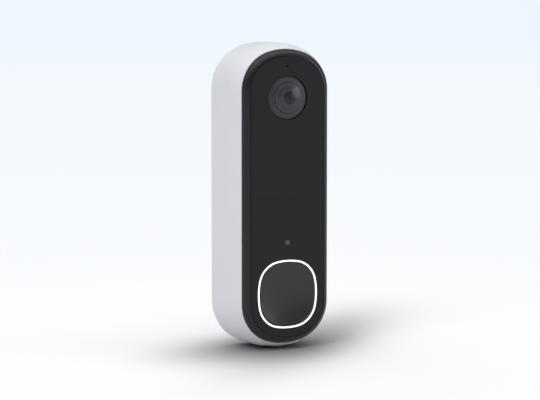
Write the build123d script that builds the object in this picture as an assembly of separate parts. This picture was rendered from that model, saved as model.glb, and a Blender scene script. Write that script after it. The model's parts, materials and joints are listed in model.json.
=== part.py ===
"""Battery video doorbell on its wall plate, in millimetres.

X points right for somebody facing the doorbell, Z points up, and the front faces -Y.
The origin is on the wall, behind the middle of the wall plate.
"""
from build123d import *
from math import atan2, cos, degrees, radians, sin, sqrt
import os

# Driving dimensions of the outside
BEZEL_HALF_WIDTH = 20.78
BEZEL_HALF_HEIGHT = 63.35
CROWN_RADIUS = 29.06
SHOULDER_RADIUS = 17.25
HOUSING_SWELL = 2.64        # how far the housing's side stands outside the bezel
HOUSING_LIP = 0.2           # the same at the housing's front rim
BEZEL_ROUND = 2.7           # width and depth of the bezel's rounded front edge
BEZEL_BULGE = 0.6           # how far that edge swells out from a straight chamfer

# Depth layers: y of each front face, and the back of the last one
FACE_FRONT = -28.0
FACE_BACK = -27.0
SHELF_BACK = -25.8
RIM_FRONT = -25.3
BOARD_FRONT = -22.5
BOARD_BACK = -21.5
FRAME_BACK = -20.7
WALL_FRONT = -9.5
WALL_BACK = -7.5
RIM_BACK = -0.8
PLATE_FRONT = -2.5
PLATE_BACK = 0.0

# Camera
LENS_Z = 42.6
LENS_RING_RADIUS = 9.3
LENS_RING_GAP = 0.2
DOME_RADIUS = 6.5
DOME_SPHERE = 16.9
DOME_CENTRE_Y = -13.1
DOME_WALL = 0.8
BARREL_RADIUS = 6.0
FRONT_GLASS_RADIUS = 3.6
FRONT_GLASS_SPHERE = 4.6
FRONT_GLASS_APEX = -28.6
MIC_Z = 56.2
IR_LED_CIRCLE = 12.2
IR_LED_COUNT = 6

# Infrared cut filter: an arm with a pin slides the filter aside
ARM_LENGTH = 4.0
ARM_SWING = 40.0            # degrees each side of the arm's middle position
FILTER_TRAVEL = 2 * ARM_LENGTH * sin(radians(ARM_SWING))
PIN_Z = LENS_Z - 10.4
ARM_X = FILTER_TRAVEL / 2
ARM_Z = PIN_Z - ARM_LENGTH * cos(radians(ARM_SWING))
PIN_RADIUS = 0.5

# Button and its light ring, a rounded square made of arcs
BUTTON_Z = -41.8
RING_HALF_ACROSS = 14.1     # half the width of the ring's middle line
RING_HALF_UPRIGHT = 14.42   # half its height
RING_WIDTH = 0.75
RING_SIDE_RADIUS = 29.3
RING_CORNER_RADIUS = 10.45
BUTTON_GAP = 0.18
BUTTON_DISH = 1.2
CAP_FRONT = -27.85
CAP_BACK = -25.2
RING_LED_COUNT = 12

# Smaller features
SENSOR_Z = -19.5
SENSOR_RADIUS = 1.15
SPEAKER_Z = -43.0
SPEAKER_RADIUS = 9.5
CASE_SCREW_X = 14.5
CASE_SCREW_Z = 47.5
FRAME_POST_X = 15.8
FRAME_POST_ZS = (29.6, -25.2)
WALL_SCREW_Z = 45.0
WALL_SCREW_RADIUS = 2.1
TERMINAL_X = 7.0
TERMINAL_Z = -21.9
USB_Z = -28.6
SYNC_X = -14.0
SYNC_Z = 28.0
TOOL_SLOT_X = -4.9
TOOL_SLOT_Y = -15.4
TOOL_SLOT_LENGTH = 6.4
TOOL_SLOT_WIDTH = 3.2
TOOL_GROOVE_LENGTH = 15.0
TOOL_GROOVE_DEPTH = 1.4
TIGHT = 0.05                # radial clearance of a running fit

nodes = {}


# ---------------------------------------------------------------- building blocks

def slab(shape, y_front, y_back):
    """Solid with a flat X-Z shape, from y_front back to y_back."""
    plane = Plane(origin=(0, y_back, 0), x_dir=(1, 0, 0), z_dir=(0, -1, 0))
    return extrude(plane * shape, amount=y_back - y_front)


def block(x0, x1, y0, y1, z0, z1):
    """Box between two corners."""
    return Pos(x0, y0, z0) * Box(x1 - x0, y1 - y0, z1 - z0, align=(Align.MIN,) * 3)


def disc(radius, y_front, y_back, x=0.0, z=0.0):
    """Round disc or pin along Y."""
    return slab(Pos(x, z) * Circle(radius), y_front, y_back)


def washer(outer, inner, y_front, y_back, x=0.0, z=0.0):
    """Round ring along Y."""
    return slab(Pos(x, z) * (Circle(outer) - Circle(inner)), y_front, y_back)


def turned(points, x=0.0, z=0.0):
    """Solid of revolution about Y, from (radius, y) points."""
    profile = make_face(Polyline(*points, close=True))
    return Pos(x, 0, z) * revolve(profile, axis=Axis.Y)


def plate(width, height, radius, x=0.0, z=0.0):
    """Flat rounded rectangle in X-Z."""
    return Pos(x, z) * RectangleRounded(width, height, radius)


def group(solids):
    """Several separate solids of one kind as one node."""
    return Compound(children=list(solids))


def outline_edges(offset):
    """Edges of the doorbell's front outline, moved outwards by offset."""
    crown_z = BEZEL_HALF_HEIGHT - CROWN_RADIUS
    shoulder_x = BEZEL_HALF_WIDTH - SHOULDER_RADIUS
    shoulder_z = crown_z + sqrt((CROWN_RADIUS - SHOULDER_RADIUS) ** 2 - shoulder_x ** 2)
    meet = degrees(atan2(shoulder_z - crown_z, shoulder_x))
    half = BEZEL_HALF_WIDTH + offset
    crown = CROWN_RADIUS + offset
    shoulder = SHOULDER_RADIUS + offset
    return [
        Line((half, -shoulder_z), (half, shoulder_z)),
        CenterArc((shoulder_x, shoulder_z), shoulder, 0, meet),
        CenterArc((0, crown_z), crown, meet, 180 - 2 * meet),
        CenterArc((-shoulder_x, shoulder_z), shoulder, 180 - meet, meet),
        Line((-half, shoulder_z), (-half, -shoulder_z)),
        CenterArc((-shoulder_x, -shoulder_z), shoulder, 180, meet),
        CenterArc((0, -crown_z), crown, 180 + meet, 180 - 2 * meet),
        CenterArc((shoulder_x, -shoulder_z), shoulder, 360 - meet, meet),
    ]


def outline(offset):
    """Flat shape of the front outline."""
    return make_face(outline_edges(offset))


def swept(profile):
    """Ring that carries an (outwards, y) profile round the bezel's outline."""
    edges = outline_edges(0)
    start = edges[0] @ 0
    upright = Plane(origin=(0, 0, 0), x_dir=(1, 0, 0), z_dir=(0, -1, 0))
    path = Wire([upright * edge for edge in edges])
    section = Plane(origin=(start.X, 0, start.Y), x_dir=(1, 0, 0), z_dir=(0, 0, 1))
    return sweep(section * profile, path=path)


def button_outline(offset):
    """Rounded square of the button, moved outwards from the light ring's middle line."""
    side_x = RING_HALF_ACROSS - RING_SIDE_RADIUS
    side_z = RING_HALF_UPRIGHT - RING_SIDE_RADIUS
    # a corner arc meets two side arcs when its centre is equally far from both of their centres
    apart = sqrt(side_x ** 2 + side_z ** 2)
    reach = sqrt((RING_SIDE_RADIUS - RING_CORNER_RADIUS) ** 2 - (apart / 2) ** 2)
    corner_x = side_x / 2 - side_z / apart * reach
    corner_z = side_z / 2 - side_x / apart * reach
    lean_x = degrees(atan2(corner_z, corner_x - side_x))
    lean_z = degrees(atan2(corner_x, corner_z - side_z))
    span = 90 - lean_x - lean_z
    side_radius = RING_SIDE_RADIUS + offset
    corner_radius = RING_CORNER_RADIUS + offset
    edges = []
    for turn, sign in ((0, 1), (180, -1)):
        edges.append(CenterArc((sign * side_x, 0), side_radius, turn - lean_x, 2 * lean_x))
        edges.append(CenterArc((sign * corner_x, sign * corner_z), corner_radius, turn + lean_x, span))
        edges.append(CenterArc((0, sign * side_z), side_radius, turn + 90 - lean_z, 2 * lean_z))
        edges.append(CenterArc((-sign * corner_x, sign * corner_z), corner_radius, turn + 90 + lean_z, span))
    return Pos(0, BUTTON_Z) * make_face(edges)


def half_plane(z_low, z_high):
    """Wide rectangle in X-Z between two heights, for cropping."""
    return Pos(0, (z_low + z_high) / 2) * Rectangle(60, z_high - z_low)


def around(count, radius, z, start=0.0):
    """(x, z) places evenly spaced on a circle about the point (0, z)."""
    places = []
    for number in range(count):
        angle = radians(start + 360 * number / count)
        places.append((radius * cos(angle), z + radius * sin(angle)))
    return places


def mirrored(x, z):
    """The four places (+-x, +-z)."""
    return [(side * x, end * z) for side in (-1, 1) for end in (-1, 1)]


def post_places():
    """The four posts that join the bezel to the middle frame."""
    return [(side * FRAME_POST_X, z) for side in (-1, 1) for z in FRAME_POST_ZS]


# ---------------------------------------------------------------- front

def face_plates():
    """Upper and lower dark face plates, which meet at a fine seam."""
    seam = 0.03
    groove = BEZEL_ROUND + 0.3
    whole = slab(outline(-groove), FACE_FRONT, FACE_BACK)
    upper = whole & slab(half_plane(seam, 80), FACE_FRONT, FACE_BACK)
    upper -= disc(LENS_RING_RADIUS + LENS_RING_GAP, FACE_FRONT, FACE_BACK, 0, LENS_Z)
    upper -= disc(0.5, FACE_FRONT, FACE_BACK, 0, MIC_Z)
    lower = whole & slab(half_plane(-80, -seam), FACE_FRONT, FACE_BACK)
    lower -= slab(button_outline(RING_WIDTH / 2 + 0.08), FACE_FRONT, FACE_BACK)
    lower -= disc(SENSOR_RADIUS, FACE_FRONT, FACE_BACK, 0, SENSOR_Z)
    nodes["upper_face_plate"] = upper
    nodes["lower_face_plate"] = lower


def front_bezel():
    """Glossy frame with a rounded edge, a shelf behind the face plates, and a skirt."""
    inner = -BEZEL_ROUND - 0.05
    skirt_out, skirt_in, groove_in = -1.45, -2.6, -2.0
    lean = BEZEL_BULGE / sqrt(2)
    middle = (lean - BEZEL_ROUND / 2, (RIM_FRONT + FACE_FRONT) / 2 - lean)
    edge = ThreePointArc((0, RIM_FRONT), middle, (-BEZEL_ROUND, FACE_FRONT))
    corners = [
        (-BEZEL_ROUND, FACE_FRONT), (inner, FACE_FRONT), (inner, SHELF_BACK), (skirt_in, SHELF_BACK),
        (skirt_in, FRAME_BACK), (skirt_out, FRAME_BACK), (skirt_out, -22.4), (groove_in, -22.4),
        (groove_in, -23.6), (skirt_out, -23.6), (skirt_out, RIM_FRONT), (0, RIM_FRONT),
    ]
    bezel = swept(make_face([edge, Polyline(*corners)]))
    bezel += slab(outline(skirt_in + 0.1), FACE_BACK, SHELF_BACK)
    bezel -= disc(LENS_RING_RADIUS + 0.05, FACE_BACK, -26.3, 0, LENS_Z)
    bezel -= disc(DOME_RADIUS + TIGHT, FACE_BACK, SHELF_BACK, 0, LENS_Z)
    bezel -= disc(0.5, FACE_BACK, SHELF_BACK, 0, MIC_Z)
    bezel -= disc(SENSOR_RADIUS, FACE_BACK, SHELF_BACK, 0, SENSOR_Z)
    bezel -= slab(button_outline(RING_WIDTH / 2 + TIGHT), FACE_BACK, SHELF_BACK)
    for x, z in around(IR_LED_COUNT, IR_LED_CIRCLE, LENS_Z):
        bezel -= disc(1.8, FACE_BACK, SHELF_BACK, x, z)
    for x, z in post_places():
        bezel += disc(1.8, SHELF_BACK, BOARD_BACK, x, z)
        bezel -= disc(0.8, -24.6, BOARD_BACK, x, z)
    nodes["front_bezel"] = bezel


def light_pipe():
    """Clear pin that shows daylight to the light sensor on the main board."""
    pipe = disc(SENSOR_RADIUS - TIGHT, -27.95, -23.3, 0, SENSOR_Z)
    pipe += disc(1.7, SHELF_BACK, -25.1, 0, SENSOR_Z)
    nodes["light_pipe"] = pipe
    nodes["light_sensor"] = block(-1, 1, -23.2, BOARD_FRONT, SENSOR_Z - 1, SENSOR_Z + 1)


def button():
    """Dished button, its light ring, return pad, switch and board."""
    inside = -RING_WIDTH / 2
    cap = slab(button_outline(inside - BUTTON_GAP), CAP_FRONT, CAP_BACK)
    cap = fillet(cap.faces().sort_by(Axis.Y)[0].edges(), 0.35)
    half = RING_HALF_UPRIGHT + inside - BUTTON_GAP
    dish = (half ** 2 + BUTTON_DISH ** 2) / (2 * BUTTON_DISH)
    cap -= Pos(0, CAP_FRONT + BUTTON_DISH - dish, BUTTON_Z) * Sphere(dish)
    nodes["doorbell_button"] = cap

    ring = button_outline(-inside) - button_outline(inside)
    flange = button_outline(2.2) - button_outline(inside)
    leg = button_outline(1.6) - button_outline(0.2)
    light = slab(ring, FACE_FRONT - 0.05, SHELF_BACK)
    light += slab(flange, SHELF_BACK, -24.8)
    light += slab(leg, -24.8, -23.7)
    nodes["button_light_ring"] = light

    board = button_outline(1.3)
    for x, z in post_places():
        board -= Pos(x, z) * Circle(2.1)
    nodes["button_board"] = slab(board, BOARD_FRONT, BOARD_BACK)
    chips = []
    for x, z in around(RING_LED_COUNT, RING_HALF_ACROSS - 0.5, BUTTON_Z, 15):
        chips.append(block(x - 0.8, x + 0.8, -23.3, BOARD_FRONT, z - 0.8, z + 0.8))
    nodes["ring_leds"] = group(chips)

    pad = turned([(6.2, BOARD_FRONT), (8.6, BOARD_FRONT), (8.6, -23.1), (7.4, -24.4),
                  (7.4, CAP_BACK), (6.0, CAP_BACK), (6.0, -24.2), (6.8, -23.2), (6.2, -23.0)], 0, BUTTON_Z)
    nodes["button_return_pad"] = pad

    switch = block(-3, 3, -24.4, BOARD_FRONT, BUTTON_Z - 3, BUTTON_Z + 3)
    switch = fillet(switch.edges().filter_by(Axis.Y), 0.5)
    switch -= disc(1.7, -24.4, -23.2, 0, BUTTON_Z)
    nodes["button_switch"] = switch
    nodes["switch_plunger"] = disc(1.65, CAP_BACK + TIGHT, -23.9, 0, BUTTON_Z)


# ---------------------------------------------------------------- camera

def lens_window():
    """Trim ring, clear dome and the ring that holds the dome from behind."""
    nodes["lens_trim_ring"] = turned([
        (DOME_RADIUS + 0.1, -26.3), (LENS_RING_RADIUS, -26.3), (LENS_RING_RADIUS, -27.4),
        (LENS_RING_RADIUS - 0.12, -27.52), (DOME_RADIUS + 0.25, -28.5), (DOME_RADIUS + 0.1, -28.35),
    ], 0, LENS_Z)
    dome_top = DOME_CENTRE_Y - DOME_SPHERE
    base_y = DOME_CENTRE_Y - sqrt(DOME_SPHERE ** 2 - DOME_RADIUS ** 2)
    inner = DOME_SPHERE - DOME_WALL
    bore = DOME_RADIUS - DOME_WALL
    bore_y = DOME_CENTRE_Y - sqrt(inner ** 2 - bore ** 2)
    outer_mid = (DOME_SPHERE * sin(radians(11)), DOME_CENTRE_Y - DOME_SPHERE * cos(radians(11)))
    inner_mid = (inner * sin(radians(10)), DOME_CENTRE_Y - inner * cos(radians(10)))
    skin = [
        ThreePointArc((0, dome_top), outer_mid, (DOME_RADIUS, base_y)),
        Polyline((DOME_RADIUS, base_y), (DOME_RADIUS, SHELF_BACK), (8.9, SHELF_BACK), (8.9, -25.0),
                 (bore, -25.0), (bore, bore_y)),
        ThreePointArc((bore, bore_y), inner_mid, (0, dome_top + DOME_WALL)),
        Line((0, dome_top + DOME_WALL), (0, dome_top)),
    ]
    nodes["lens_dome"] = Pos(0, 0, LENS_Z) * revolve(make_face(skin), axis=Axis.Y)
    nodes["lens_retaining_ring"] = washer(9.6, 6.8, -25.0, -24.0, 0, LENS_Z)


def lens():
    """Threaded barrel with its front and rear glass."""
    mouth = FRONT_GLASS_RADIUS
    nodes["lens_barrel"] = turned([
        (mouth, -26.8), (5.2, -26.8), (5.6, -26.4), (5.6, -24.2), (BARREL_RADIUS, -24.2),
        (BARREL_RADIUS, -16.3), (3.2, -16.3), (3.2, -20.2), (2.6, -20.2), (2.6, -24.6), (mouth, -24.6),
    ], 0, LENS_Z)
    ball_y = FRONT_GLASS_APEX + FRONT_GLASS_SPHERE
    edge_y = ball_y - sqrt(FRONT_GLASS_SPHERE ** 2 - mouth ** 2)
    halfway = radians(25)
    middle = (FRONT_GLASS_SPHERE * sin(halfway), ball_y - FRONT_GLASS_SPHERE * cos(halfway))
    front = make_face([
        ThreePointArc((0, FRONT_GLASS_APEX), middle, (mouth, edge_y)),
        Polyline((mouth, edge_y), (mouth, -24.6), (0, -24.6), (0, FRONT_GLASS_APEX)),
    ])
    rear = make_face([
        Polyline((0, -17.0), (0, -20.2), (3.2, -20.2), (3.2, -18.0)),
        ThreePointArc((0, -17.0), (1.65, -17.25), (3.2, -18.0)),
    ])
    nodes["front_lens_element"] = Pos(0, 0, LENS_Z) * revolve(front, axis=Axis.Y)
    nodes["rear_lens_element"] = Pos(0, 0, LENS_Z) * revolve(rear, axis=Axis.Y)


def camera_module():
    """Lens holder, image sensor, camera board, and the flat cable to the main board."""
    holder = block(-8.5, 11.5, -21.0, -12.5, LENS_Z - 8, LENS_Z + 8)
    holder = fillet(holder.edges().filter_by(Axis.Y), 1.0)
    holder -= disc(BARREL_RADIUS, -21.0, -16.3, 0, LENS_Z)
    holder -= disc(3.4, -16.3, -15.6, 0, LENS_Z)
    holder -= block(-6.8, 10.2, -15.6, -12.5, LENS_Z - 6.5, LENS_Z + 6.5)
    holder -= block(-2.0, 7.3, -15.6, -14.2, LENS_Z - 8, LENS_Z - 6.5)
    nodes["lens_holder"] = holder
    nodes["image_sensor"] = block(-4.5, 4.5, -13.5, -12.5, LENS_Z - 4, LENS_Z + 4)

    board = plate(21, 22, 1.0, 0.7, 42.0) + plate(34, 15.4, 1.0, -1.0, 32.3)
    nodes["camera_board"] = slab(board, -12.5, -11.5)

    cable = block(-14, -8, -12.7, -12.5, 26.4, 29.0)
    cable += block(-14, -8, -22.7, -12.5, 26.3, 26.5)
    cable += block(-14, -8, -22.7, BOARD_FRONT, 21.5, 26.5)
    nodes["camera_flex"] = cable


def ir_cut():
    """Sliding infrared filter in its frame, the arm that moves it, and the coil."""
    frame = plate(8, 8, 0.6, 0, LENS_Z) + plate(3, 5.4, 0.4, 0, PIN_Z + 1.2)
    frame += plate(3, 4.0, 0.2, 0, LENS_Z - 5.0)
    frame -= Pos(0, LENS_Z) * Rectangle(5.6, 5.6)
    frame -= Pos(0, PIN_Z + 0.55) * SlotCenterToCenter(1.3, 2 * PIN_RADIUS + 0.3, rotation=90)
    nodes["ir_cut_frame"] = slab(frame, -15.3, -14.5)
    nodes["ir_cut_glass"] = block(-2.8, 2.8, -15.1, -14.7, LENS_Z - 2.8, LENS_Z + 2.8)

    lean = degrees(atan2(PIN_Z - ARM_Z, -ARM_X))
    bar = SlotCenterToCenter(ARM_LENGTH, 1.8, rotation=lean)
    arm = slab(Pos(ARM_X / 2, (PIN_Z + ARM_Z) / 2) * bar, -16.4, -15.7)
    arm += disc(PIN_RADIUS, -16.0, -14.3, 0, PIN_Z)
    arm += disc(0.8, -16.0, -12.9, ARM_X, ARM_Z)
    nodes["ir_cut_arm"] = arm

    coil = block(-3.0, 8.0, -14.1, -12.5, 25.4, 30.3)
    coil = fillet(coil.edges().filter_by(Axis.Y), 0.8)
    nodes["ir_cut_coil"] = coil - disc(0.8 + TIGHT, -14.1, -12.5, ARM_X, ARM_Z)


def night_light_and_microphone():
    """Upper board with infrared lamps round the lens and the microphone above it."""
    board = outline(-3.1) & half_plane(31.8, 70)
    board -= Pos(0, LENS_Z) * Circle(BARREL_RADIUS + 0.6)
    nodes["ir_mic_board"] = slab(board, BOARD_FRONT, BOARD_BACK)
    lamps = []
    for x, z in around(IR_LED_COUNT, IR_LED_CIRCLE, LENS_Z):
        lamps.append(turned([(0, BOARD_FRONT), (1.7, BOARD_FRONT), (1.7, -23.2), (1.5, -23.2),
                             (1.5, -24.6), (1.1, -25.2), (0, -25.4)], x, z))
    nodes["ir_leds"] = group(lamps)
    nodes["microphone"] = block(-1.75, 1.75, -23.5, BOARD_FRONT, MIC_Z - 1.3, MIC_Z + 1.3)
    nodes["mic_gasket"] = washer(1.9, 0.5, SHELF_BACK, -23.5, 0, MIC_Z)


# ---------------------------------------------------------------- middle

def middle_frame():
    """Plastic bulkhead that carries the three boards in front and the battery behind."""
    shape = outline(-2.7)
    shape -= plate(20.8, 16.8, 1.2, 1.5, LENS_Z)
    shape -= Pos(-11, 26.4) * Rectangle(7, 0.9)
    shape -= Pos(0, 25.6) * Rectangle(9, 3.2)
    for side in (-1, 1):
        shape -= Pos(side * TERMINAL_X, TERMINAL_Z) * Circle(2.2)
    for x, z in post_places():
        shape -= Pos(x, z) * Circle(0.8)
    frame = slab(shape, BOARD_BACK, FRAME_BACK)
    for x, z in mirrored(CASE_SCREW_X, CASE_SCREW_Z):
        frame += disc(2.4, FRAME_BACK, -16.7, x, z)
        frame -= disc(1.6, FRAME_BACK, -16.7, x, z)
    for x in (-15.6, 13.6):
        frame += disc(1.5, FRAME_BACK, -12.5, x, 37.4)
    nodes["mid_frame"] = frame
    nodes["threaded_inserts"] = group(
        washer(1.6, 1.05, FRAME_BACK, -16.7, x, z) for x, z in mirrored(CASE_SCREW_X, CASE_SCREW_Z))
    screws = []
    for x, z in post_places():
        screw = disc(0.8, -24.0, -20.3, x, z) + disc(1.6, FRAME_BACK, -19.9, x, z)
        screws.append(screw - disc(0.5, -20.3, -19.9, x, z))
    nodes["frame_screws"] = group(screws)


def main_board():
    """Main circuit board with a shield can, chips, radio aerial and battery socket."""
    board = plate(35, 50.2, 1.5, 0, 0.6)
    for x, z in post_places():
        board -= Pos(x, z) * Circle(2.1)
    nodes["main_board"] = slab(board, BOARD_FRONT, BOARD_BACK)
    can = block(-9, 9, -24.6, BOARD_FRONT, -2, 14)
    can = fillet(can.faces().sort_by(Axis.Y)[0].edges(), 0.4)
    nodes["rf_shield"] = can - block(-8.7, 8.7, -24.3, BOARD_FRONT, -1.7, 13.7)
    places = [(-12.5, -8, 4.5, 4.5), (11, -9, 6, 5), (2, -9, 7, 7), (12.6, 20, 4, 3), (-13.4, 12, 3.5, 8)]
    nodes["main_board_chips"] = group(
        block(x - w / 2, x + w / 2, -23.5, BOARD_FRONT, z - h / 2, z + h / 2) for x, z, w, h in places)
    aerial = Pos(2.5, 22.6) * Rectangle(13, 1)
    for step in range(4):
        aerial += Pos(-3.5 + 4 * step, 20.6) * Rectangle(1, 3)
        if step < 3:
            aerial += Pos(-1.5 + 4 * step, 19.6) * Rectangle(4, 1)
    nodes["wifi_antenna"] = slab(aerial, -22.8, BOARD_FRONT)
    socket = block(-3.5, 3.5, BOARD_BACK, -18.6, 24.3, 26.9)
    nodes["battery_connector"] = socket - block(-2.9, 2.9, -20.4, -18.6, 24.9, 26.3)


def battery():
    """Flat lithium cell, the foam behind it, and its two short wires."""
    cell = block(-17, 17, -20.5, -10.3, -19.5, 23.0)
    nodes["battery_pack"] = fillet(cell.edges().filter_by(Axis.Z), 3.0)
    nodes["battery_foam"] = block(-13, 13, -10.3, WALL_FRONT, -15, 18)
    wires = []
    for x in (-1.4, 1.4):
        path = FilletPolyline((x, -16.0, 23.0), (x, -16.0, 25.6), (x, -20.0, 25.6), radius=1.8)
        end = Plane(origin=(x, -16.0, 23.0), z_dir=(0, 0, 1))
        wires.append(sweep(end * Circle(0.6), path=path))
    nodes["battery_lead"] = group(wires)


def speaker():
    """Round speaker that faces the back wall, with its moving cone and water mesh."""
    rim = SPEAKER_RADIUS
    mesh_front = WALL_FRONT - 0.3
    nodes["speaker_frame"] = turned([
        (0, -19.6), (5.5, -19.6), (5.5, -15.4), (rim, -13.0), (rim, mesh_front), (8.6, mesh_front),
        (8.6, -12.6), (4.7, -14.6), (4.7, -18.8), (3.0, -18.8), (3.0, -15.2), (0, -15.2),
    ], 0, SPEAKER_Z)
    nodes["speaker_cone"] = turned([
        (3.6, -17.8), (4.1, -17.8), (4.1, -13.6), (7.0, -11.9), (7.0, -11.5), (3.8, -13.2),
        (0, -12.6), (0, -13.1), (3.6, -13.7),
    ], 0, SPEAKER_Z)
    nodes["speaker_surround"] = turned([
        (7.0, -11.9), (7.8, -12.4), (8.6, -11.9), (8.6, -11.5), (7.8, -12.0), (7.0, -11.5),
    ], 0, SPEAKER_Z)
    nodes["speaker_mesh"] = disc(rim, mesh_front, WALL_FRONT, 0, SPEAKER_Z)


# ---------------------------------------------------------------- rear housing

def rear_housing():
    """Pale cup with swelling sides, a rear wall, and a rim that reaches back to the wall."""
    drop = HOUSING_SWELL - HOUSING_LIP
    bend_y = -15.6
    bend_radius = ((bend_y - RIM_FRONT) ** 2 + drop ** 2) / (2 * drop)
    half_y = (bend_y + RIM_FRONT) / 2
    half_n = HOUSING_SWELL - bend_radius + sqrt(bend_radius ** 2 - (bend_y - half_y) ** 2)
    inner = HOUSING_SWELL - 2.0
    back_round = 1.8
    profile = make_face([
        ThreePointArc((HOUSING_LIP, RIM_FRONT), (half_n, half_y), (HOUSING_SWELL, bend_y)),
        Line((HOUSING_SWELL, bend_y), (HOUSING_SWELL, RIM_BACK - back_round)),
        CenterArc((HOUSING_SWELL - back_round, RIM_BACK - back_round), back_round, 0, 90),
        Polyline((HOUSING_SWELL - back_round, RIM_BACK), (inner, RIM_BACK), (inner, WALL_FRONT - 8),
                 (-1.3, -19.5), (-1.3, RIM_FRONT), (HOUSING_LIP, RIM_FRONT)),
    ])
    body = swept(profile)
    body += slab(outline(inner + 0.2), WALL_FRONT, WALL_BACK)

    # screw bosses inside, with sunk heads behind
    for x, z in mirrored(CASE_SCREW_X, CASE_SCREW_Z):
        body += disc(2.4, -16.6, WALL_FRONT, x, z)
        body -= disc(1.35, -16.6, WALL_BACK, x, z)
        body -= disc(2.3, -9.0, WALL_BACK, x, z)

    # sound slots behind the speaker
    for row in range(5):
        z = SPEAKER_Z - 3.4 + 2.6 * row
        chord = 2 * sqrt(7.6 ** 2 - (z - SPEAKER_Z) ** 2)
        body -= slab(Pos(0, z) * SlotOverall(chord, 1.2), WALL_FRONT, WALL_BACK)

    # sockets in the rear wall
    body -= slab(plate(9.2, 3.4, 1.65, 0, USB_Z), WALL_FRONT, WALL_BACK)
    body -= disc(1.9, WALL_FRONT, WALL_BACK, SYNC_X, SYNC_Z)
    for side in (-1, 1):
        body -= disc(2.0 + TIGHT, WALL_FRONT, WALL_BACK, side * TERMINAL_X, TERMINAL_Z)
    for side in (-1, 1):
        ear = block(side * 8.5 - 0.9, side * 8.5 + 0.9, WALL_BACK, -5.2, USB_Z + 1.6, USB_Z + 3.6)
        body += ear - block(side * 7.9 - 0.75, side * 7.9 + 0.75, -6.75, -5.65, USB_Z + 2.05, USB_Z + 3.15)

    # hook at the top that hangs in the wall plate
    body += block(-5, 5, WALL_BACK, -0.3, 57.4, 59.2)
    body += block(-5, 5, -1.0, -0.3, 59.2, 60.8)

    # pocket at the bottom for the release latch, with a slot for the release tool
    body += block(-8.4, 6.4, -19.8, WALL_FRONT, -64.2, -56.6)
    body -= block(-7.4, 5, -18.6, WALL_BACK, -63.6, -57.8)
    tool_slot = SlotOverall(TOOL_SLOT_LENGTH, TOOL_SLOT_WIDTH, rotation=90)
    body -= Pos(TOOL_SLOT_X, TOOL_SLOT_Y, -64) * extrude(tool_slot, amount=4, both=True)
    groove = SlotOverall(TOOL_GROOVE_LENGTH, TOOL_SLOT_WIDTH, rotation=90)
    bottom_z = -BEZEL_HALF_HEIGHT - HOUSING_SWELL
    body -= Pos(TOOL_SLOT_X, TOOL_SLOT_Y, bottom_z) * extrude(groove, amount=TOOL_GROOVE_DEPTH, both=True)
    for side in (-1, 1):
        body += block(side * 5.0 - 0.6, side * 5.0 + 0.6, WALL_BACK, -4.0, -57.8, -52.4)
    body += block(-2.6, 2.6, WALL_BACK, -3.2, -49.7, -48.4)

    # drain and sound slots through the rim at the very bottom
    for number in range(4):
        x = -9.6 + 6.4 * number
        body -= Pos(x, -5.0, -64) * extrude(SlotOverall(3.6, 1.4), amount=6, both=True)
    nodes["rear_housing"] = body

    band = Polyline((-1.3, -23.6), (-1.3, -22.4), (-2.0, -22.4), (-2.0, -23.6), close=True)
    nodes["housing_seal"] = swept(make_face(band))

    screws = []
    for x, z in mirrored(CASE_SCREW_X, CASE_SCREW_Z):
        screw = disc(1.05, -19.9, -9.0, x, z) + disc(2.2, -9.0, -7.6, x, z)
        screws.append(screw - slab(Pos(x, z) * RegularPolygon(0.9, 6), -8.6, -7.6))
    nodes["case_screws"] = group(screws)


def charging_port():
    """Charging socket on its board, behind a hinged rubber cover."""
    shell = slab(plate(8.9, 3.1, 1.5, 0, USB_Z), -16.4, WALL_BACK - 0.1)
    shell -= slab(plate(8.1, 2.3, 1.1, 0, USB_Z), -15.4, WALL_BACK - 0.1)
    shell += block(-3.2, 3.2, -15.4, -8.4, USB_Z - 0.35, USB_Z + 0.35)
    nodes["usb_socket"] = shell
    nodes["usb_board"] = block(-8, 8, -17.4, -16.4, USB_Z - 4, USB_Z + 2.8)

    hinge_y, hinge_z = -6.2, USB_Z + 2.6
    cover = slab(plate(12.4, 5.0, 1.2, 0, USB_Z - 0.3), -7.4, -6.4)
    cover += block(-5.2, 5.2, -7.4, -6.4, USB_Z, hinge_z - 0.2)
    pin = Pos(0, hinge_y, hinge_z) * Rot(0, 90, 0) * Cylinder(0.5, 16.2)
    cover += block(-5.2, 5.2, -6.9, hinge_y, USB_Z + 1.6, hinge_z)
    nodes["usb_port_cover"] = cover + pin


def terminals():
    """Two brass posts that carry the chime wires' current to the board, and their screws."""
    posts = []
    screws = []
    for side in (-1, 1):
        x = side * TERMINAL_X
        tube = washer(2.0, 1.2, BOARD_BACK, WALL_BACK, x, TERMINAL_Z)
        posts.append(tube + washer(3.0, 1.2, WALL_BACK, -6.9, x, TERMINAL_Z))
        screw = disc(1.2, -13.5, -6.9, x, TERMINAL_Z) + disc(2.8, -6.9, -5.3, x, TERMINAL_Z)
        slot = Pos(x, TERMINAL_Z) * (Rectangle(4.0, 0.8) + Rectangle(0.8, 4.0))
        screws.append(screw - slab(slot, -6.1, -5.3))
    nodes["terminal_posts"] = group(posts)
    nodes["terminal_screws"] = group(screws)


def sync():
    """Small pairing button in the rear wall and the switch under it."""
    nodes["sync_button"] = disc(1.85, -9.8, -7.3, SYNC_X, SYNC_Z) + disc(2.4, -9.9, -9.6, SYNC_X, SYNC_Z)
    switch = block(SYNC_X - 2.2, SYNC_X + 2.2, -11.5, -10.6, SYNC_Z - 2.2, SYNC_Z + 2.2)
    nodes["sync_switch"] = switch + disc(0.9, -10.6, -10.35, SYNC_X, SYNC_Z)


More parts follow.
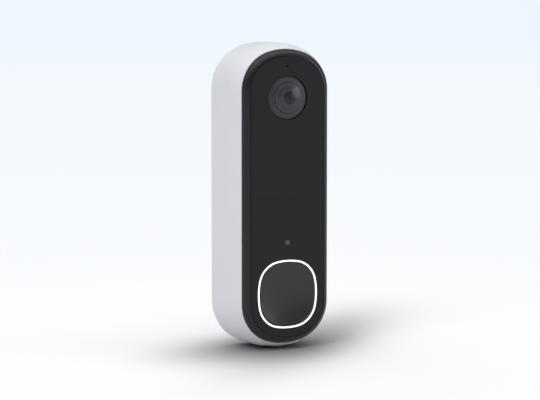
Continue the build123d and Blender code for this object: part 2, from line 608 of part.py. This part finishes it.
def latch():
    """Sliding latch that holds the bottom edge, and the spring that keeps it down."""
    foot = block(-4, 4, -18.1, -4.6, -62.5, -61.0)
    foot += block(-6.8, -4, -18.1, -12.0, -62.5, -61.0)
    rails = block(-4, 4, -6.8, -4.6, -62.5, -54.2)
    window = block(-2.6, 2.6, -6.8, -4.6, -61.0, -54.8)
    bar = block(-4, 4, -4.9, -3.6, -56.4, -54.2)
    seat = block(-4, 4, -6.8, -3.4, -54.8, -54.2)
    nodes["release_latch"] = foot + rails - window + bar + seat

    turns, wire, radius = 4, 0.3, 1.1
    low, high = -54.2 + wire / 2, -49.7 - wire / 2
    coil_path = Helix(pitch=(high - low) / turns, height=high - low, radius=radius)
    circle = Plane(origin=coil_path @ 0, z_dir=coil_path % 0) * Circle(wire / 2)
    spring = sweep(circle, path=coil_path, is_frenet=True)
    nodes["latch_spring"] = Pos(0, -4.9, low) * spring


# ---------------------------------------------------------------- wall plate

def wall_plate():
    """Flat plate screwed to the wall, with a wire opening, a hook window and a latch clip."""
    shape = outline(-1.2)
    for end in (-1, 1):
        shape -= Pos(0, end * WALL_SCREW_Z) * Circle(WALL_SCREW_RADIUS)
    shape -= plate(28, 58, 4.0, 0, -7.0)
    shape -= Pos(0, 58.3) * Rectangle(11.4, 2.8)
    body = slab(shape, PLATE_FRONT, PLATE_BACK)
    body -= block(-5.7, 5.7, -1.2, PLATE_BACK, 56.9, 61.3)
    body -= block(-3.1, 3.1, -0.6, PLATE_BACK, -58.4, -52.6)
    body -= block(-3.1, 3.1, PLATE_FRONT, PLATE_BACK, -58.9, -57.6)
    nodes["wall_plate"] = body

    clip = block(-3, 3, -0.5, -0.1, -58.3, -52.8)
    clip += block(-2, 2, -6.0, -0.1, -58.3, -57.9)
    clip += block(-2, 2, -6.0, -5.5, -58.3, -55.4)
    nodes["catch_clip"] = clip


for build in (face_plates, front_bezel, light_pipe, button, lens_window, lens, camera_module, ir_cut,
              night_light_and_microphone, middle_frame, main_board, battery, speaker, rear_housing,
              charging_port, terminals, sync, latch, wall_plate):
    build()

os.makedirs("parts", exist_ok=True)
for name, shape in nodes.items():
    export_step(shape, f"parts/{name}.step")
print(len(nodes), "nodes")
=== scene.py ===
"""Looks of the video doorbell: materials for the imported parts, a finer lens barrel, studio and camera.

Blender units are metres. The doorbell faces -Y and Z is up; the wall would be at y = 0.
"""
import json
import math

import bmesh
import bpy
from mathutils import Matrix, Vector


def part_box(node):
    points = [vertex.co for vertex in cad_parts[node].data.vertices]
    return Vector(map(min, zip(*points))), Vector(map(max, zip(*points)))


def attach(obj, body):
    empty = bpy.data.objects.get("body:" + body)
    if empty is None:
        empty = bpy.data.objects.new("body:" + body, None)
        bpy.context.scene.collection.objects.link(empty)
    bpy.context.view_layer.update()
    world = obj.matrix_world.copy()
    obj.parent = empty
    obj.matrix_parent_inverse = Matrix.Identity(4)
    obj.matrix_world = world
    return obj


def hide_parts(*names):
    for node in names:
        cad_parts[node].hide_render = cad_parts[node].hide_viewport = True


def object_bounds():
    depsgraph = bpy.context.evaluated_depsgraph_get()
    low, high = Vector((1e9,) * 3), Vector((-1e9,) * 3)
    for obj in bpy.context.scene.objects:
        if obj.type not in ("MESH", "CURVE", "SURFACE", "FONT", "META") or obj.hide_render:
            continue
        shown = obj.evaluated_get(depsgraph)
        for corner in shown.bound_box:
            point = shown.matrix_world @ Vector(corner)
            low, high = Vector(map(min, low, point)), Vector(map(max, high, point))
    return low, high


MM = 0.001

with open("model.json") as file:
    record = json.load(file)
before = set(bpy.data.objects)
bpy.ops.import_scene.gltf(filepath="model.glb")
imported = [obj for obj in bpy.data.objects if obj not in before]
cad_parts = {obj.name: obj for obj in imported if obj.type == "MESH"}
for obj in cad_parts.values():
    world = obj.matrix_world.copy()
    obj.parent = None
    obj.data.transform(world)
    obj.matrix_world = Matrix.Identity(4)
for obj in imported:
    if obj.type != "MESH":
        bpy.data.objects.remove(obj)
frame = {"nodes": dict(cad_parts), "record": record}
cad_low, cad_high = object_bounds()
nodes = frame["nodes"]


# ---------------------------------------------------------------- node tools
# tree is a material's list of nodes, link joins two sockets, and where is its texture coordinate node

def fresh_material(name):
    """New node material, with its node list, link maker, Principled shader and texture coordinates."""
    made = bpy.data.materials.new(name)
    made.use_nodes = True
    tree = made.node_tree.nodes
    return made, tree, made.node_tree.links.new, tree["Principled BSDF"], tree.new("ShaderNodeTexCoord")


def noise(tree, link, where, scale, detail=2.0, rough=0.5):
    """Noise in object space, with scale in cells per metre."""
    made = tree.new("ShaderNodeTexNoise")
    made.inputs["Scale"].default_value = scale
    made.inputs["Detail"].default_value = detail
    made.inputs["Roughness"].default_value = rough
    link(where.outputs["Object"], made.inputs["Vector"])
    return made.outputs["Fac"]


def spread(tree, link, source, low, high):
    """Maps a noise's middle range to low..high."""
    made = tree.new("ShaderNodeMapRange")
    made.inputs["From Min"].default_value = 0.3
    made.inputs["From Max"].default_value = 0.7
    made.inputs["To Min"].default_value = low
    made.inputs["To Max"].default_value = high
    link(source, made.inputs["Value"])
    return made.outputs["Result"]


def smooth_range(tree, link, source, start, end, low, high):
    """Smooth step of a value from low to high as it goes from start to end."""
    made = tree.new("ShaderNodeMapRange")
    made.interpolation_type = "SMOOTHSTEP"
    made.inputs["From Min"].default_value = start
    made.inputs["From Max"].default_value = end
    made.inputs["To Min"].default_value = low
    made.inputs["To Max"].default_value = high
    link(source, made.inputs["Value"])
    return made.outputs["Result"]


def calculated(tree, link, operation, source, other=None):
    """One sum on a value, with a number or another value."""
    made = tree.new("ShaderNodeMath")
    made.operation = operation
    link(source, made.inputs[0])
    if isinstance(other, (int, float)):
        made.inputs[1].default_value = other
    elif other is not None:
        link(other, made.inputs[1])
    return made.outputs["Value"]


def colour_ramp(tree, link, source, stops, interpolation="LINEAR"):
    """Colour for a value: stops are (value, colour), in rising order."""
    made = tree.new("ShaderNodeValToRGB")
    ramp = made.color_ramp
    ramp.interpolation = interpolation
    while len(ramp.elements) < len(stops):
        ramp.elements.new(0.5)
    for element, (position, colour) in zip(ramp.elements, stops):
        element.position = position
        element.color = (*colour, 1)
    link(source, made.inputs["Fac"])
    return made.outputs["Color"]


def tinted(tree, link, source, dark, light):
    """Colour that drifts between two shades with a noise."""
    return colour_ramp(tree, link, source, [(0.35, dark), (0.65, light)])


def distance(tree, link, where, centre):
    """How far each place is from a point, in metres."""
    made = tree.new("ShaderNodeVectorMath")
    made.operation = "DISTANCE"
    made.inputs[1].default_value = centre
    link(where.outputs["Object"], made.inputs[0])
    return made.outputs["Value"]


def distance_ramp(tree, link, where, centre, reach, stops):
    """Colour by distance from a point: stops are (part of reach, colour)."""
    part = calculated(tree, link, "DIVIDE", distance(tree, link, where, centre), reach)
    return colour_ramp(tree, link, part, stops, "EASE")


def bumped(tree, link, shader, height, depth, strength=1.0):
    """Bump from a height value, depth in millimetres."""
    bump = tree.new("ShaderNodeBump")
    bump.inputs["Strength"].default_value = strength
    bump.inputs["Distance"].default_value = depth * MM
    link(height, bump.inputs["Height"])
    link(bump.outputs["Normal"], shader.inputs["Normal"])


def shade(colour, factor):
    """A colour made darker or lighter."""
    return tuple(min(1.0, channel * factor) for channel in colour)


# ---------------------------------------------------------------- kinds of material

def moulded(name, colour, rough, grain=9000, depth=0.02, drift=0.04, mottle=0.06, specular=0.5):
    """Moulded or coated surface: fine grain in the bump, drifting gloss and a little mottling.

    grain is in cells per metre and depth in millimetres; drift and mottle are parts of one.
    """
    made, tree, link, shader, where = fresh_material(name)
    bumped(tree, link, shader, noise(tree, link, where, grain, 3.0, 0.6), depth)
    broad = noise(tree, link, where, 60.0, 3.0)
    link(spread(tree, link, broad, rough - drift, rough + drift), shader.inputs["Roughness"])
    mottled = tinted(tree, link, broad, shade(colour, 1 - mottle), shade(colour, 1 + mottle))
    link(mottled, shader.inputs["Base Color"])
    shader.inputs["Specular IOR Level"].default_value = specular
    return made


def glassy(name, colour, rough, clear=1.0, specular=0.5):
    """Clear moulding or lens glass with faint waviness."""
    made, tree, link, shader, where = fresh_material(name)
    wave = noise(tree, link, where, 300.0, 1.0)
    bumped(tree, link, shader, wave, 0.01, 0.1)
    link(tinted(tree, link, wave, shade(colour, 0.97), colour), shader.inputs["Base Color"])
    shader.inputs["Roughness"].default_value = rough
    shader.inputs["IOR"].default_value = 1.5
    shader.inputs["Transmission Weight"].default_value = clear
    shader.inputs["Specular IOR Level"].default_value = specular
    return made


def lens_cover(name, shades, reach, window, soft, cover):
    """Smoked dome with painted shade and light by distance from its tip, solid but for a window over the
    lens.

    shades are the painted shades, (part of reach, colour). The window has a soft edge, and cover is how
    solid it still is.
    """
    made, tree, link, shader, where = fresh_material(name)
    corners = [vertex.co for vertex in nodes["lens_dome"].data.vertices]
    low = [min(axis) for axis in zip(*corners)]
    high = [max(axis) for axis in zip(*corners)]
    tip = ((low[0] + high[0]) / 2, low[1], (low[2] + high[2]) / 2)
    # painted dark pupil, painted pale ring and painted rim highlight in the base colour
    link(distance_ramp(tree, link, where, tip, reach, shades), shader.inputs["Base Color"])
    solid = smooth_range(tree, link, distance(tree, link, where, tip), window - soft, window, cover, 1.0)
    link(solid, shader.inputs["Alpha"])
    shader.inputs["Roughness"].default_value = 0.2
    shader.inputs["Specular IOR Level"].default_value = 0.27
    return made


def brushed(name, colour, rough, stretch=(40.0, 40.0, 4000.0)):
    """Metal with fine lines, drawn along the directions of small stretch."""
    made, tree, link, shader, where = fresh_material(name)
    mapping = tree.new("ShaderNodeMapping")
    mapping.inputs["Scale"].default_value = stretch
    link(where.outputs["Object"], mapping.inputs["Vector"])
    texture = tree.new("ShaderNodeTexNoise")
    texture.inputs["Scale"].default_value = 1.0
    texture.inputs["Detail"].default_value = 4.0
    link(mapping.outputs["Vector"], texture.inputs["Vector"])
    lines = texture.outputs["Fac"]
    bumped(tree, link, shader, lines, 0.01, 0.4)
    link(spread(tree, link, lines, rough - 0.08, rough + 0.08), shader.inputs["Roughness"])
    link(tinted(tree, link, lines, shade(colour, 0.85), colour), shader.inputs["Base Color"])
    shader.inputs["Metallic"].default_value = 1.0
    return made


def glowing(name, colour, strength):
    """Milky light guide lit from behind, with faint unevenness; the light leaves by its front face."""
    made, tree, link, shader, where = fresh_material(name)
    side_part = 0.04
    cloudy = tinted(tree, link, noise(tree, link, where, 400.0), shade(colour, 0.97), colour)
    link(cloudy, shader.inputs["Base Color"])
    link(cloudy, shader.inputs["Emission Color"])
    facing = tree.new("ShaderNodeSeparateXYZ")
    link(where.outputs["Normal"], facing.inputs["Vector"])
    level = tree.new("ShaderNodeMapRange")
    level.inputs["From Min"].default_value = -0.4
    level.inputs["From Max"].default_value = -0.9
    level.inputs["To Min"].default_value = side_part * strength
    level.inputs["To Max"].default_value = strength
    link(facing.outputs["Y"], level.inputs["Value"])
    link(level.outputs["Result"], shader.inputs["Emission Strength"])
    shader.inputs["Roughness"].default_value = 0.35
    return made


def circuit(name, mask, copper):
    """Circuit board: solder mask over faint traces."""
    made, tree, link, shader, where = fresh_material(name)
    upright = tree.new("ShaderNodeMapping")
    upright.inputs["Rotation"].default_value = (math.pi / 2, 0, 0)
    link(where.outputs["Object"], upright.inputs["Vector"])
    traces = tree.new("ShaderNodeTexBrick")
    traces.inputs["Scale"].default_value = 700.0
    traces.inputs["Mortar Size"].default_value = 0.04
    traces.inputs["Color1"].default_value = (*mask, 1)
    traces.inputs["Color2"].default_value = (*shade(mask, 0.85), 1)
    traces.inputs["Mortar"].default_value = (*copper, 1)
    link(upright.outputs["Vector"], traces.inputs["Vector"])
    link(traces.outputs["Color"], shader.inputs["Base Color"])
    bumped(tree, link, shader, traces.outputs["Fac"], 0.02)
    shader.inputs["Roughness"].default_value = 0.35
    return made


# ---------------------------------------------------------------- finishes for each slot

WHITE = (0.62, 0.625, 0.655)
BLACK = (0.0135, 0.0135, 0.0155)
BEZEL_BLACK = (0.0085, 0.0088, 0.0112)
BUTTON_BLACK = (0.018, 0.018, 0.0205)

# painted shade and light on the dome: a painted dark pupil for the shaded inside of the lens, a painted
# pale ring round it and a painted highlight at the rim
DOME_PAINTED_SHADES = [
    (0.0, (0.015, 0.015, 0.020)),       # dark pupil
    (0.34, (0.018, 0.018, 0.024)),
    (0.5, (0.048, 0.048, 0.058)),       # pale ring round it
    (0.64, (0.036, 0.036, 0.044)),
    (0.84, (0.038, 0.038, 0.046)),
    (0.93, (0.052, 0.052, 0.061)),      # rim
]

finishes = {}


def finish(slot, kind, *values, **extras):
    """Makes the material of one slot."""
    finishes[slot] = kind(slot, *values, **extras)


finish("housing_white", moulded, WHITE, 0.42, depth=0.012, drift=0.03, mottle=0.012, specular=0.45)
finish("bezel_black", moulded, BEZEL_BLACK, 0.3, 7000, depth=0.002, drift=0.01, mottle=0, specular=0.36)
finish("face_black", moulded, BLACK, 0.3, depth=0.003, drift=0.01, mottle=0, specular=0.17)
finish("lens_black", moulded, (0.033, 0.033, 0.038), 0.38,
       depth=0.004, drift=0.01, mottle=0.02, specular=0.3)
finish("dome_clear", lens_cover, DOME_PAINTED_SHADES, reach=7 * MM, window=5.6 * MM, soft=1.5 * MM, cover=0.9)
finish("barrel_black", moulded, (0.06, 0.06, 0.072), 0.45, 3000,
       depth=0.0005, drift=0.01, mottle=0.02, specular=0.4)
finish("lens_glass", glassy, (0.022, 0.022, 0.03), 0.25, clear=0.0, specular=0.4)
finish("inner_black", moulded, (0.03, 0.03, 0.03), 0.55, 5000)
finish("filter_glass", glassy, (0.45, 0.75, 0.85), 0.01)
finish("coil_copper", brushed, (0.6, 0.28, 0.12), 0.35, (40, 40, 9000))
finish("chip_black", moulded, (0.02, 0.02, 0.02), 0.6, 8000, depth=0.01)
finish("board_green", circuit, mask=(0.01, 0.10, 0.04), copper=(0.06, 0.22, 0.08))
finish("flex_amber", moulded, (0.5, 0.2, 0.03), 0.3, 3000, depth=0.004)
finish("lamp_clear", glassy, (0.75, 0.75, 0.85), 0.05, clear=0.7)
finish("lamp_white", moulded, (0.8, 0.75, 0.45), 0.3, 4000, depth=0.004)
finish("spring_steel", brushed, (0.55, 0.55, 0.56), 0.3)
finish("screw_steel", brushed, (0.45, 0.45, 0.46), 0.35, (4000, 40, 4000))
finish("shield_metal", brushed, (0.65, 0.65, 0.64), 0.35)
finish("brass_contact", brushed, (0.75, 0.53, 0.2), 0.3)
finish("rubber_black", moulded, (0.02, 0.02, 0.02), 0.75, 6000)
finish("rubber_grey", moulded, (0.16, 0.16, 0.17), 0.7, 6000)
finish("sensor_grey", moulded, (0.05, 0.05, 0.055), 0.3, 6000, depth=0.003)
finish("button_black", moulded, BUTTON_BLACK, 0.26, depth=0.003, drift=0.01, mottle=0, specular=0.4)
finish("ring_white", glowing, (0.8, 0.8, 0.8), strength=0.9)
finish("plunger_plastic", moulded, (0.75, 0.74, 0.7), 0.45)
finish("battery_wrap", moulded, (0.05, 0.10, 0.26), 0.3, 2500, depth=0.01)
finish("foam_grey", moulded, (0.09, 0.09, 0.09), 0.9, 2500, depth=0.15)
finish("wire_red", moulded, (0.45, 0.02, 0.02), 0.4, 6000, depth=0.004)
finish("cone_black", moulded, (0.03, 0.03, 0.03), 0.6, 2500, depth=0.03)
finish("mesh_black", moulded, (0.03, 0.03, 0.03), 0.8, 5000, depth=0.05)
finish("latch_grey", moulded, (0.13, 0.13, 0.14), 0.5)
finish("plate_grey", moulded, (0.24, 0.24, 0.25), 0.55, 3500, depth=0.03)

for part in frame["record"]["subparts"]:
    piece = nodes[part["node"]]
    piece.data.materials.clear()
    piece.data.materials.append(finishes[part["material_slot"]])


# ---------------------------------------------------------------- finer lens barrel

def turned(name, centre, profile, steps=96):
    """Ring-shaped mesh: a closed (radius, y) profile in metres, turned about an axis along Y."""
    made = bmesh.new()
    rows = []
    for number in range(steps):
        turn = math.tau * number / steps
        across, up = math.cos(turn), math.sin(turn)
        rows.append([made.verts.new((centre.x + radius * across, y, centre.z + radius * up))
                     for radius, y in profile])
    for number, row in enumerate(rows):
        following = rows[(number + 1) % steps]
        for place in range(len(profile)):
            ahead = (place + 1) % len(profile)
            made.faces.new((row[place], row[ahead], following[ahead], following[place]))
    bmesh.ops.recalc_face_normals(made, faces=made.faces)
    mesh = bpy.data.meshes.new(name)
    made.to_mesh(mesh)
    made.free()
    piece = bpy.data.objects.new(name, mesh)
    bpy.context.collection.objects.link(piece)
    for face in mesh.polygons:
        face.use_smooth = True
    mesh.set_sharp_from_angle(angle=math.radians(35))
    return piece


def lens_barrel():
    """Threaded barrel whose front steps down in fine anti-glare rings round the front glass."""
    low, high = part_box("lens_barrel")
    glass_low, glass_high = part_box("front_lens_element")
    centre = (low + high) / 2
    front, back = low.y, high.y

    # radii, from the outside in
    outer = (high.x - low.x) / 2
    root = outer - 0.2 * MM             # bottom of the thread
    collar = outer - 0.4 * MM           # smooth collar in front of the thread
    mouth = (glass_high.x - glass_low.x) / 2
    rear_bore = mouth - 0.4 * MM
    bore = mouth - 1.0 * MM             # between the front and rear glass

    # places along the axis
    collar_back = front + 2.6 * MM
    bore_front = front + 2.2 * MM
    bore_back = front + 6.6 * MM

    profile = [(mouth, bore_front), (mouth, front)]
    steps = 5
    drop = 0.1 * MM
    width = (collar - mouth) / steps
    tread = 0.8 * width                 # sloping part of each step
    for number in range(steps):
        inner = mouth + width * number
        y = front + drop * number
        profile += [(inner + tread, y), (inner + width, y + drop)]
    profile.append((collar, collar_back))
    pitch = 0.5 * MM
    for number in range(int((back - collar_back) / pitch)):
        y = collar_back + pitch * number
        profile += [(root, y), (outer, y + pitch / 2)]
    profile += [(root, back), (rear_bore, back), (rear_bore, bore_back),
                (bore, bore_back), (bore, bore_front)]
    piece = turned("stepped_lens_barrel", centre, profile)
    piece.data.materials.append(finishes["barrel_black"])
    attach(piece, "unit")
    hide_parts("lens_barrel")


lens_barrel()


# ---------------------------------------------------------------- floor

FLOOR_RADIUS = 80.0
FLOOR_DROP = 0.2 * MM               # gap under the doorbell
floor_z = cad_low.z - FLOOR_DROP
FOOT = Vector((0, -15 * MM, 0))     # middle of the housing's bottom end, seen from above

# painted shadow pools on the floor: full strength where the camera sees them, weaker in the light that the
# floor throws back
PAINTED_SHADOW_BOUNCE = 0.4                   # how strong the pools are in the light that the floor throws back

# floor colour by distance from the foot, as a part of FLOOR_FADE metres: painted light, lighter round the
# foot and darker far away, where it also turns bluer
FLOOR_FADE = 6.4
PAINTED_FLOOR_FALLOFF = [
    (0.0, (0.76, 0.76, 0.76)),
    (0.06, (0.719, 0.729, 0.734)),
    (0.19, (0.693, 0.716, 0.733)),
    (1.0, (0.659, 0.697, 0.751)),
]


def disc(name, radius, z, steps=96):
    """Flat round face."""
    turns = [math.tau * number / steps for number in range(steps)]
    rim = [(radius * math.cos(turn), radius * math.sin(turn), z) for turn in turns]
    mesh = bpy.data.meshes.new(name)
    mesh.from_pydata(rim, [], [tuple(range(steps))])
    made = bpy.data.objects.new(name, mesh)
    bpy.context.collection.objects.link(made)
    return made


def painted_shadow_pool(tree, link, where, place, size, turn, depth):
    """Painted shadow on the floor: soft dark oval, depth deep in its middle: place and size in millimetres
    from the foot, turn in degrees.
    """
    oval = tree.new("ShaderNodeMapping")
    oval.vector_type = "TEXTURE"
    oval.inputs["Location"].default_value = (FOOT.x + place[0] * MM, FOOT.y + place[1] * MM, floor_z)
    oval.inputs["Rotation"].default_value = (0, 0, math.radians(turn))
    oval.inputs["Scale"].default_value = (size[0] * MM, size[1] * MM, 1)
    link(where.outputs["Object"], oval.inputs["Vector"])
    squared = tree.new("ShaderNodeVectorMath")
    squared.operation = "DOT_PRODUCT"
    link(oval.outputs["Vector"], squared.inputs[0])
    link(oval.outputs["Vector"], squared.inputs[1])
    falling = calculated(tree, link, "MULTIPLY", squared.outputs["Value"], -1)
    return calculated(tree, link, "MULTIPLY", calculated(tree, link, "EXPONENT", falling), depth)


def floor_material():
    """White floor with painted light and shadow: lighter round the doorbell's foot and darker and faintly
    blue far away, with a painted contact shadow round the foot and a painted shadow cast to the back right.
    """
    made, tree, link, shader, where = fresh_material("floor")
    # painted light falloff: the floor lighter round the foot and darker far away
    painted_light_falloff = distance_ramp(tree, link, where, (FOOT.x, FOOT.y, floor_z), FLOOR_FADE, PAINTED_FLOOR_FALLOFF)
    # painted shadows: a contact shadow round the foot and a shadow cast to the back right
    painted_contact_shadow = painted_shadow_pool(tree, link, where, place=(-10, -1.6), size=(25, 40), turn=-67, depth=0.92)
    painted_cast_shadow = painted_shadow_pool(tree, link, where, place=(21, 5), size=(20.3, 79), turn=-44, depth=0.655)
    painted_shadows = calculated(tree, link, "ADD", painted_contact_shadow, painted_cast_shadow)
    near = calculated(tree, link, "EXPONENT", calculated(tree, link, "MULTIPLY", painted_shadows, -1))
    both = tree.new("ShaderNodeMix")
    both.data_type = "RGBA"
    both.blend_type = "MULTIPLY"
    # the painted shadows are full where the camera sees the floor and weaker in the light it throws back
    path = tree.new("ShaderNodeLightPath")
    seen = smooth_range(tree, link, path.outputs["Is Camera Ray"], 0, 1, PAINTED_SHADOW_BOUNCE, 1)
    link(seen, both.inputs["Factor"])
    link(painted_light_falloff, both.inputs["A"])
    link(near, both.inputs["B"])
    link(both.outputs["Result"], shader.inputs["Base Color"])
    shader.inputs["Roughness"].default_value = 0.9
    shader.inputs["Specular IOR Level"].default_value = 0.0
    return made


floor = disc("floor", FLOOR_RADIUS, floor_z)
floor.data.materials.append(floor_material())


# ---------------------------------------------------------------- light

BACKDROP = (0.89, 0.94, 1.0)
LIGHT = (0.97, 0.98, 1.0)
HORIZON = 0.15          # level at the horizon
OVERHEAD = 0.42         # level above
OVERHEAD_FROM = 0.9     # upward part of the direction at which OVERHEAD is reached
PANELS = [      # direction, angles in degrees where the panel is full and where it ends, level
    ((-0.1, -0.25, 0.95), 22, 48, 1.42),    # overhead
    ((0.65, -0.15, 0.75), 8, 22, 1.2),      # overhead, to the right
    ((-0.95, 0.3, 0.4), 25, 60, 0.42),      # left
    ((0.8, -0.58, 0.14), 8, 20, 3.2),       # front right
]


def studio_world():
    """Pale backdrop, and light from a soft dome with wide panels."""
    made = bpy.data.worlds.new("studio")
    made.use_nodes = True
    tree = made.node_tree.nodes
    link = made.node_tree.links.new
    where = tree.new("ShaderNodeTexCoord")
    split = tree.new("ShaderNodeSeparateXYZ")
    link(where.outputs["Generated"], split.inputs["Vector"])
    level = smooth_range(tree, link, split.outputs["Z"], 0.0, OVERHEAD_FROM, HORIZON, OVERHEAD)
    for direction, full, end, extra in PANELS:
        near = tree.new("ShaderNodeVectorMath")
        near.operation = "DOT_PRODUCT"
        near.inputs[1].default_value = Vector(direction).normalized()
        link(where.outputs["Generated"], near.inputs[0])
        start, top = math.cos(math.radians(end)), math.cos(math.radians(full))
        patch = smooth_range(tree, link, near.outputs["Value"], start, top, 0.0, extra)
        level = calculated(tree, link, "ADD", level, patch)
    glow = tree["Background"]
    glow.inputs["Color"].default_value = (*LIGHT, 1)
    link(level, glow.inputs["Strength"])
    seen = tree.new("ShaderNodeBackground")
    seen.inputs["Color"].default_value = (*BACKDROP, 1)
    path = tree.new("ShaderNodeLightPath")
    either = tree.new("ShaderNodeMixShader")
    link(path.outputs["Is Camera Ray"], either.inputs["Fac"])
    link(glow.outputs["Background"], either.inputs[1])
    link(seen.outputs["Background"], either.inputs[2])
    link(either.outputs["Shader"], tree["World Output"].inputs["Surface"])
    return made


def towards(azimuth, elevation):
    """Unit vector towards a direction in degrees, azimuth 0 being the front and positive to the right."""
    turn, lift = math.radians(azimuth), math.radians(elevation)
    return Vector((math.sin(turn) * math.cos(lift), -math.cos(turn) * math.cos(lift), math.sin(lift)))


def placed(name, data, source):
    """Object that looks back from the direction of source."""
    made = bpy.data.objects.new(name, data)
    made.rotation_mode = "QUATERNION"
    made.rotation_quaternion = (-source).to_track_quat("-Z", "Y")
    bpy.context.collection.objects.link(made)
    return made


def far_light(name, azimuth, elevation, spread_angle, strength):
    """Distant soft light, by the direction that it comes from."""
    data = bpy.data.lights.new(name, "SUN")
    data.angle = math.radians(spread_angle)
    data.energy = strength
    placed(name, data, towards(azimuth, elevation)).visible_glossy = False


bpy.context.scene.world = studio_world()
far_light("key", azimuth=-54, elevation=40, spread_angle=32, strength=0.82)
far_light("back", azimuth=165, elevation=45, spread_angle=60, strength=0.6)


# ---------------------------------------------------------------- camera

CAMERA_AIM = Vector((-8.6 * MM, -28 * MM, -0.8 * MM))      # on the plane of the face
CAMERA_DISTANCE = 0.9534

camera_data = bpy.data.cameras.new("camera")
camera_data.sensor_width = 36.0
camera_data.lens = 149.0
camera_data.clip_start = 0.01
camera_data.clip_end = 300.0
towards_camera = towards(azimuth=-28.44, elevation=5.32)
camera = placed("camera", camera_data, towards_camera)
camera.location = CAMERA_AIM + towards_camera * CAMERA_DISTANCE
bpy.context.scene.camera = camera
bpy.context.scene.view_settings.view_transform = "Standard"
